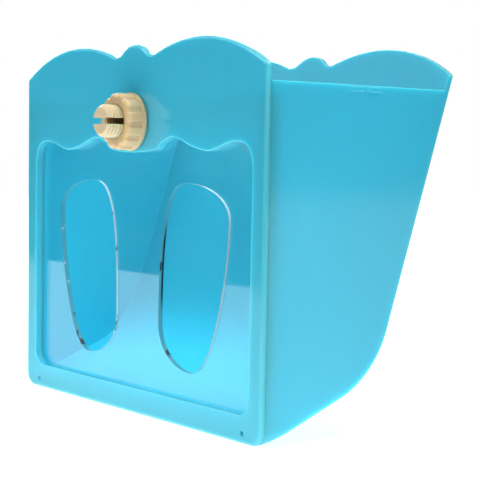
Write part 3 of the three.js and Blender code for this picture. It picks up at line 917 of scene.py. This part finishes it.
def hopper_shell(box, half):
    """Side walls, floor and back in one shell, cut to the crown at its back and to the lips at its sides"""
    front, far, top = -OVERRUN, box.depth + OVERRUN, box.height + OVERRUN
    inside = half - box.wall
    shell = side_prism("hopper_moulding", hopper_profile(box, 0, front, top), half)
    crown = crown_outline(box, half, box.foot_round - box.step)
    combine(shell, plate("crown", crown, [(0, box.thickness + box.seat_gap), (0, far)]), "INTERSECT")
    hollow = side_prism("hollow", hopper_profile(box, box.wall, front, top), inside)
    lower = lower_corner(inside, box.wall, box.foot_round - box.step - box.wall, CORNER_STEPS)
    mouth = distinct(lower + [(inside, top), (-inside, top)] + mirrored(lower))
    combine(hollow, plate("mouth", mouth, [(0, front), (0, far)]), "INTERSECT")
    combine(shell, bevelled(hollow, box.inner_round, INNER_EDGE_STEPS), "DIFFERENCE")
    lip = box.lip_height
    above = [(front, lip)] + [(back_at(box, z, box.wall), z) for z in (lip, top)] + [(front, top)]
    combine(shell, side_prism("above_lips", above, half + OVERRUN), "DIFFERENCE")
    return bevelled(shell, box.rim_round, RIM_EDGE_STEPS)


def keeper(box, panel, inside, side):
    """Upright block behind the clear panel, which starts half way into the side wall"""
    start = panel.front + panel.thickness + box.seat_gap
    across = side * (inside - box.keeper_reach), side * (inside + box.wall / 2)
    height = box.keeper_foot, PANEL_HIGH.z + box.bolt_height
    return block("keeper", across, (start, start + box.keeper_thickness), height, KEEPER_ROUND)


def lug(box, half, side, end):
    """Small block under a lip, before the lugs' middle for end -1 and behind it for end 1"""
    near = box.lug_place + end * box.lug_gap / 2
    top = box.lip_height - box.lug_drop
    across = side * (half - box.wall / 2), side * HOPPER_HIGH.x
    return block("lug", across, (near, near + end * box.lug_length), (top - box.lug_height, top), BLOCK_ROUND)


class HAYFEEDER_OT_hopper(bpy.types.Operator):
    """Build the hopper with its keepers and lugs"""

    bl_idname = "hay_feeder.hopper"
    bl_label = "Hopper"

    def execute(self, context):
        box, finish = context.scene.feeder_box, context.scene.feeder_finish
        half = box.width / 2 - box.step
        piece = hopper_shell(box, half)
        for side in (-1, 1):
            combine(piece, keeper(box, context.scene.feeder_panel, half - box.wall, side), "UNION")
            for end in (-1, 1):
                combine(piece, lug(box, half, side, end), "UNION")
        # Marks the hopper's rounded edges and hollow corners for their painted highlights
        mark_painted_highlights(cleaned(piece), finish.crease_highlight)
        lowered(piece, box)
        finished(piece, cyan_material(finish), BOX_BODY, CYAN_SLOT, "hopper_shell")
        return {"FINISHED"}


class HAYFEEDER_OT_clear_panel(bpy.types.Operator):
    """Build the clear panel with its two feed holes"""

    bl_idname = "hay_feeder.clear_panel"
    bl_label = "Clear panel"

    def execute(self, context):
        box, panel, finish = context.scene.feeder_box, context.scene.feeder_panel, context.scene.feeder_finish
        half, top = PANEL_HIGH.x, PANEL_HIGH.z + box.bolt_height
        lower = lower_corner(half, PANEL_LOW.z + box.bolt_height, panel.corner, CORNER_STEPS)
        notch = arc(0, box.bolt_height, panel.notch, 0, -math.pi, NOTCH_STEPS)
        upper = [(half, top), (panel.notch, top)] + notch + [(-panel.notch, top), (-half, top)]
        back = panel.front + panel.thickness
        profile = edge_profile(panel.front, back, panel.edge, panel.edge, SHEET_EDGE_STEPS)
        holes = [(feed_hole(box, panel, side), profile) for side in (-1, 1)]
        piece = plate("clear_panel_sheet", distinct(lower + upper + mirrored(lower)), profile, holes)
        lowered(piece, box)
        finished(piece, clear_material(finish), BOX_BODY, CLEAR_SLOT, "clear_panel")
        piece.data.materials.append(cut_edge_material(finish))
        for face in piece.data.polygons:
            face.material_index = 1 if abs(face.normal.y) < CUT_FACING else 0
        return {"FINISHED"}


def thread_wave(clamp, turn, depth):
    """Height of the thread over its root, as a share, at a turn round the axis and a depth along it"""
    phase = (depth / clamp.pitch - turn / (2 * math.pi)) % 1.0
    flank = clamp.flank_share
    if phase < 0.5:
        return min(1.0, phase / flank)
    return max(0.0, 1 - (phase - 0.5) / flank)


def thread_radii(clamp, crest, depth, facets, fade=1.0):
    """Radii of a thread's ring at a depth, for the radius of its crest"""
    cut = clamp.thread_depth * fade
    return [crest - cut * (1 - thread_wave(clamp, turn, depth)) for turn in turns_of(facets)]


def bolt_shank(clamp, tip, end):
    """Rings of the threaded shank, from its tip, which a chamfer cuts, to its end, where the thread fades"""
    steps = round((end - tip) / clamp.pitch * THREAD_STEPS)
    rings = []
    for k in range(steps + 1):
        depth = tip + (end - tip) * k / steps
        most = clamp.bolt_radius - max(0.0, clamp.tip_chamfer - (depth - tip))
        fade = min(1.0, (end - depth) / clamp.pitch)
        radii = thread_radii(clamp, clamp.bolt_radius, depth, BOLT_FACETS, fade)
        rings.append(([min(most, radius) for radius in radii], depth))
    return rings


def bolt_head(clamp, back):
    """(radius, depth) outline of the bolt's head with its crowned back"""
    radius, front = clamp.head_radius, back - clamp.head_thickness
    small = clamp.head_break
    outline = [(clamp.bolt_radius, front), (radius - small, front), (radius, front + small)]
    for inwards, short in quarter(CROWN_STEPS)[:-1]:
        outline.append((radius - clamp.crown_width * inwards, back - clamp.crown_rise * short))
    return outline


class HAYFEEDER_OT_clamp_bolt(bpy.types.Operator):
    """Build the threaded and slotted clamp bolt with its head"""

    bl_idname = "hay_feeder.clamp_bolt"
    bl_label = "Clamp bolt"

    def execute(self, context):
        clamp, finish = context.scene.feeder_clamp, context.scene.feeder_finish
        tip, end = BOLT_LOW.y, -clamp.slot_land
        rings = bolt_shank(clamp, tip, end) + round_rings(bolt_head(clamp, BOLT_HIGH.y), BOLT_FACETS)
        piece = turned("clamp_bolt_threaded", rings, False)
        wide, half_slot = clamp.bolt_radius + OVERRUN, clamp.slot_width / 2
        slot = block("slot", (-wide, wide), (tip - OVERRUN, end), (-half_slot, half_slot))
        cleaned(combine(piece, slot, "DIFFERENCE"))
        material = cream_material("cream_bolt", finish.cream, finish)
        finished(piece, material, BOLT_BODY, CREAM_SLOT, "clamp_bolt")
        return {"FINISHED"}


def eased(way):
    return way * way * (3 - 2 * way)


def grip_radii(clamp, outer, facets, fade=1.0):
    """Radii of a ring of the nut's grip: flutes with flat bottoms and soft walls"""
    step = 2 * math.pi / clamp.flute_count
    radii = []
    for turn in turns_of(facets):
        off = abs((turn + clamp.flute_turn + step / 2) % step - step / 2) * clamp.grip_radius
        depth = min(1.0, max(0.0, 0.5 + (clamp.flute_width / 2 - off) / clamp.flute_wall))
        radii.append(outer - clamp.flute_depth * fade * eased(depth))
    return radii


def grip_rings(clamp, front, collar, facets):
    """Rings of the fluted grip, from its rounded front to its end at the collar, where the flutes fade"""
    rings = []
    for rise, short in quarter(GRIP_STEPS):
        outer = clamp.grip_radius - clamp.front_drop * short
        rings.append((grip_radii(clamp, outer, facets), front + clamp.front_round * rise))
    for way in (k / FADE_STEPS for k in range(FADE_STEPS + 1)):
        radii = grip_radii(clamp, clamp.grip_radius, facets, 1 - eased(way))
        rings.append((radii, collar - clamp.flute_fade * (1 - way)))
    return rings


def collar_outline(clamp, collar, back):
    """(radius, depth) outline of the nut's collar with its rounded edges"""
    radius, start = clamp.collar_radius, collar + clamp.collar_step
    near, far = clamp.collar_front, clamp.collar_back
    front_edge = [(radius - near * short, start + near * rise) for rise, short in quarter(COLLAR_FRONT_STEPS)]
    back_edge = [(radius - far * rise, back - far * short) for rise, short in quarter(COLLAR_BACK_STEPS)]
    return front_edge + back_edge


class HAYFEEDER_OT_clamp_nut(bpy.types.Operator):
    """Build the fluted clamp nut with its thread"""

    bl_idname = "hay_feeder.clamp_nut"
    bl_label = "Clamp nut"

    def execute(self, context):
        clamp, finish = context.scene.feeder_clamp, context.scene.feeder_finish
        facets = FLUTE_FACETS * clamp.flute_count
        front, back = NUT_LOW.y, NUT_HIGH.y
        collar = back - clamp.collar_thickness
        mouth = clamp.nut_bore + clamp.mouth_step
        flare = mouth + clamp.mouth_flare
        rings = round_rings([(mouth, front + clamp.mouth_step), (flare, front)], facets)
        rings += grip_rings(clamp, front, collar, facets)
        rings += round_rings(collar_outline(clamp, collar, back) + [(flare, back)], facets)
        start, end = back - clamp.bore_end, front + clamp.bore_end
        for depth in (start + (end - start) * k / BORE_STEPS for k in range(BORE_STEPS + 1)):
            rings.append((thread_radii(clamp, clamp.nut_bore, depth, facets), depth))
        piece = turned("clamp_nut_fluted", rings, True)
        # The nut's tan is darker than the cream partly as painted shade
        material = cream_material("tan_nut", finish.tan, finish)
        finished(piece, material, NUT_BODY, CREAM_SLOT, "clamp_nut")
        return {"FINISHED"}


# Stage

# Lamps: the setting of their power, their place and their size
LAMPS = {
    "key": ((-0.35, -0.75, 0.75), (0.6, 0.6)),
    "fill": ((0.95, -0.2, 0.25), (0.7, 0.5)),
    "top": ((0.15, 0.15, 0.95), (0.6, 0.6)),
    "left": ((-0.85, 0.35, 0.4), (0.8, 0.5)),
}
LAMP_TARGET = Vector((0, 0.04, -0.05))

# Floor: its size behind and beside the box, its gap, and where its light falls off: by the distance from the
# bolt, this close to the box's foot, and behind the box
FLOOR_SIDE, FLOOR_GAP = 3.0, 0.2 * MM
FALL_FROM, FALL_TO = 0.04, 0.3
FOOT_HALF_DEPTH, FOOT_REACH = 0.01, 0.008
REAR_FROM, REAR_TO = 0.06, 0.2

# The camera's own view of the floor: brightness near the box and far from it, and where it changes
SEEN_NEAR, SEEN_FAR, SEEN_FROM, SEEN_TO = 1.3, 1.7, 0.15, 0.5

# Heights of the room in reflections, as the upward part of the direction: where it starts and where it dims
ROOM_FROM, ROOM_TO, DIM_FROM, DIM_TO = 0.08, 0.2, 0.27, 0.36

# Camera at the photograph's place, with its angles in radians and its picture measured in pixels
CAMERA_PLACE = (0.48314, -0.30430, -0.01462)
CAMERA_YAW, CAMERA_PITCH, CAMERA_ROLL = 0.9318664, 0.0987640, 0.0182786
FOCAL_PIXELS, PICTURE_SIDE = 1419.945, 480.0
MIDDLE_X, MIDDLE_Y = 239.457, 301.484
SENSOR = 36.0


def area_lamp(name, watts, place, size):
    lamp = bpy.data.lights.new(name, "AREA")
    lamp.shape = "RECTANGLE"
    lamp.size, lamp.size_y = size
    lamp.energy = watts
    obj = bpy.data.objects.new(name, lamp)
    obj.location = place
    obj.rotation_mode = "QUATERNION"
    obj.rotation_quaternion = (LAMP_TARGET - obj.location).to_track_quat("-Z", "Y")
    bpy.context.scene.collection.objects.link(obj)


def straight_through(tree, path):
    """Mask of the rays by which the camera sees the background, also straight through the clear sheet"""
    bounces = calculated(tree, "ADD", path["Glossy Depth"], path["Diffuse Depth"])
    through = product(tree, path["Is Transmission Ray"], calculated(tree, "LESS_THAN", bounces, 0.5))
    return calculated(tree, "MAXIMUM", path["Is Camera Ray"], through)


def mirror_rays(tree, path):
    """Mask of the rays that carry reflections and views through the clear sheet"""
    return calculated(tree, "MAXIMUM", path["Is Glossy Ray"], path["Is Transmission Ray"])


def floor_light(tree, stage, place, away):
    """Strength of the floor's light, which falls off with distance, at the box's foot and behind the box"""
    # The foot is a block that starts at the frame's face and is higher than anything on the floor
    half, middle = Vector((FRAME_HIGH.x, FOOT_HALF_DEPTH, FLOOR_SIDE)), Vector((0, FOOT_HALF_DEPTH, 0))
    beside = vector_step(tree, "ABSOLUTE", vector_step(tree, "SUBTRACT", place, middle)[0])[0]
    outside = vector_step(tree, "MAXIMUM", vector_step(tree, "SUBTRACT", beside, half)[0], Vector())[0]
    foot = vector_step(tree, "LENGTH", outside)["Value"]
    return product(
        tree,
        eased_range(tree, away, FALL_FROM, FALL_TO, stage.near, stage.far),
        eased_range(tree, foot, 0.0, FOOT_REACH, stage.contact, 1.0),
        eased_range(tree, parts_of(tree, place)["Y"], REAR_FROM, REAR_TO, 1.0, stage.behind),
    )


def floor_material(stage):
    """Floor: nearly white with a soft shadow to the camera, a white table to gloss, a light to the rest"""
    material, tree, shader = new_material("pale_floor", {
        "Base Color": (*stage.floor, 1),
        "Roughness": 0.9,
        "Specular IOR Level": 0.0,
    })
    place = add_node(tree, "ShaderNodeTexCoord")["Object"]
    away = vector_step(tree, "LENGTH", place)["Value"]
    white = {"Strength": eased_range(tree, away, SEEN_FROM, SEEN_TO, SEEN_NEAR, SEEN_FAR)}
    emission = add_node(tree, "ShaderNodeEmission", white)[0]
    seen = mixed_shaders(tree, 1 - stage.shadow, shader.outputs[0], emission)
    path = add_node(tree, "ShaderNodeLightPath")
    mirror = mirror_rays(tree, path)
    light = floor_light(tree, stage, place, away)
    bounce = add_node(tree, "ShaderNodeEmission", {
        "Color": mixed(tree, mirror, WHITE, (*stage.mirrored, 1)),
        "Strength": mixed(tree, mirror, light, stage.sheen, "FLOAT"),
    })[0]
    either = mixed_shaders(tree, straight_through(tree, path), bounce, seen)
    fill(tree, tree.nodes["Material Output"], {"Surface": either})
    return material


def studio_world(stage):
    """Soft light from all round, white behind the object, and a grey room in reflections"""
    world = bpy.data.worlds.new("studio")
    bpy.context.scene.world = world
    world.use_nodes = True
    tree = world.node_tree
    soft = tree.nodes["Background"]
    fill(tree, soft, {"Color": WHITE, "Strength": stage.sky})
    height = parts_of(tree, add_node(tree, "ShaderNodeTexCoord")["Generated"])["Z"]
    rise = eased_range(tree, height, ROOM_FROM, ROOM_TO, stage.room_low, stage.room_high)
    dim = eased_range(tree, height, DIM_FROM, DIM_TO, 1.0, stage.room_top / stage.room_high)
    room = add_node(tree, "ShaderNodeBackground", {"Color": WHITE, "Strength": product(tree, rise, dim)})[0]
    white = add_node(tree, "ShaderNodeBackground", {"Color": WHITE})[0]
    path = add_node(tree, "ShaderNodeLightPath")
    unlit = calculated(tree, "LESS_THAN", path["Diffuse Depth"], 0.5)
    glossy = mixed_shaders(tree, product(tree, mirror_rays(tree, path), unlit), soft.outputs[0], room)
    seen = mixed_shaders(tree, straight_through(tree, path), glossy, white)
    fill(tree, tree.nodes["World Output"], {"Surface": seen})


def photo_camera():
    """Camera at the photograph's place"""
    data = bpy.data.cameras.new("photo_camera")
    data.sensor_width = SENSOR
    data.lens = SENSOR * FOCAL_PIXELS / PICTURE_SIDE
    data.shift_x = (PICTURE_SIDE / 2 - MIDDLE_X) / PICTURE_SIDE
    data.shift_y = (MIDDLE_Y - PICTURE_SIDE / 2) / PICTURE_SIDE
    data.clip_start, data.clip_end = 0.01, 20.0
    camera = bpy.data.objects.new("photo_camera", data)
    bpy.context.scene.collection.objects.link(camera)
    yaw, pitch, roll = CAMERA_YAW, CAMERA_PITCH, CAMERA_ROLL
    ahead = Vector((-math.sin(yaw) * math.cos(pitch), math.cos(yaw) * math.cos(pitch), -math.sin(pitch)))
    level = Vector((math.cos(yaw), math.sin(yaw), 0))
    upright = level.cross(ahead)
    right = level * math.cos(roll) + upright * math.sin(roll)
    up = upright * math.cos(roll) - level * math.sin(roll)
    turn = Matrix((right, up, -ahead)).transposed().to_4x4()
    camera.matrix_world = Matrix.Translation(CAMERA_PLACE) @ turn
    bpy.context.scene.camera = camera


class HAYFEEDER_OT_stage(bpy.types.Operator):
    """Set up the floor, the lamps, the world and the camera"""

    bl_idname = "hay_feeder.stage"
    bl_label = "Stage"

    def execute(self, context):
        stage = context.scene.feeder_stage
        level = -context.scene.feeder_box.bolt_height - FLOOR_GAP
        corners = ((-1, -stage.reach), (1, -stage.reach), (1, FLOOR_SIDE), (-1, FLOOR_SIDE))
        bm = bmesh.new()
        bm.faces.new([bm.verts.new((side * FLOOR_SIDE, y, level)) for side, y in corners])
        floor = new_object("floor", bm)
        floor.data.materials.append(floor_material(stage))
        for name, (place, size) in LAMPS.items():
            area_lamp(f"{name}_lamp", getattr(stage, name), place, size)
        studio_world(stage)
        photo_camera()
        context.scene.view_settings.view_transform = "Standard"
        return {"FINISHED"}


class HAYFEEDER_PT_panel(bpy.types.Panel):
    """Lists the feeder's steps"""

    bl_idname = "HAYFEEDER_PT_panel"
    bl_label = "Hay feeder box"
    bl_space_type = "VIEW_3D"
    bl_region_type = "UI"
    bl_category = "Hay feeder"

    def draw(self, context):
        column = self.layout.column()
        for operator in OPERATORS:
            column.operator(operator.bl_idname)
        for name in SETTINGS:
            group = getattr(context.scene, name)
            column.label(text=group.bl_rna.name)
            for prop in group.bl_rna.properties:
                if prop.identifier not in ("rna_type", "name"):
                    column.prop(group, prop.identifier)


SETTINGS = {
    "feeder_box": FeederBoxSizes,
    "feeder_panel": ClearPanelSizes,
    "feeder_clamp": ClampSizes,
    "feeder_finish": FinishSettings,
    "feeder_stage": StageSettings,
}
OPERATORS = (
    HAYFEEDER_OT_front_frame,
    HAYFEEDER_OT_hopper,
    HAYFEEDER_OT_clear_panel,
    HAYFEEDER_OT_clamp_bolt,
    HAYFEEDER_OT_clamp_nut,
    HAYFEEDER_OT_stage,
)


def register():
    for kind in (*SETTINGS.values(), *OPERATORS, HAYFEEDER_PT_panel):
        bpy.utils.register_class(kind)
    for name, kind in SETTINGS.items():
        setattr(bpy.types.Scene, name, bpy.props.PointerProperty(type=kind))


def unregister():
    for name in SETTINGS:
        delattr(bpy.types.Scene, name)
    for kind in reversed((*SETTINGS.values(), *OPERATORS, HAYFEEDER_PT_panel)):
        bpy.utils.unregister_class(kind)


def main():
    register()
    bpy.ops.hay_feeder.front_frame()
    bpy.ops.hay_feeder.hopper()
    bpy.ops.hay_feeder.clear_panel()
    bpy.ops.hay_feeder.clamp_bolt()
    bpy.ops.hay_feeder.clamp_nut()
    bpy.ops.hay_feeder.stage()


if __name__ == "__main__":
    main()
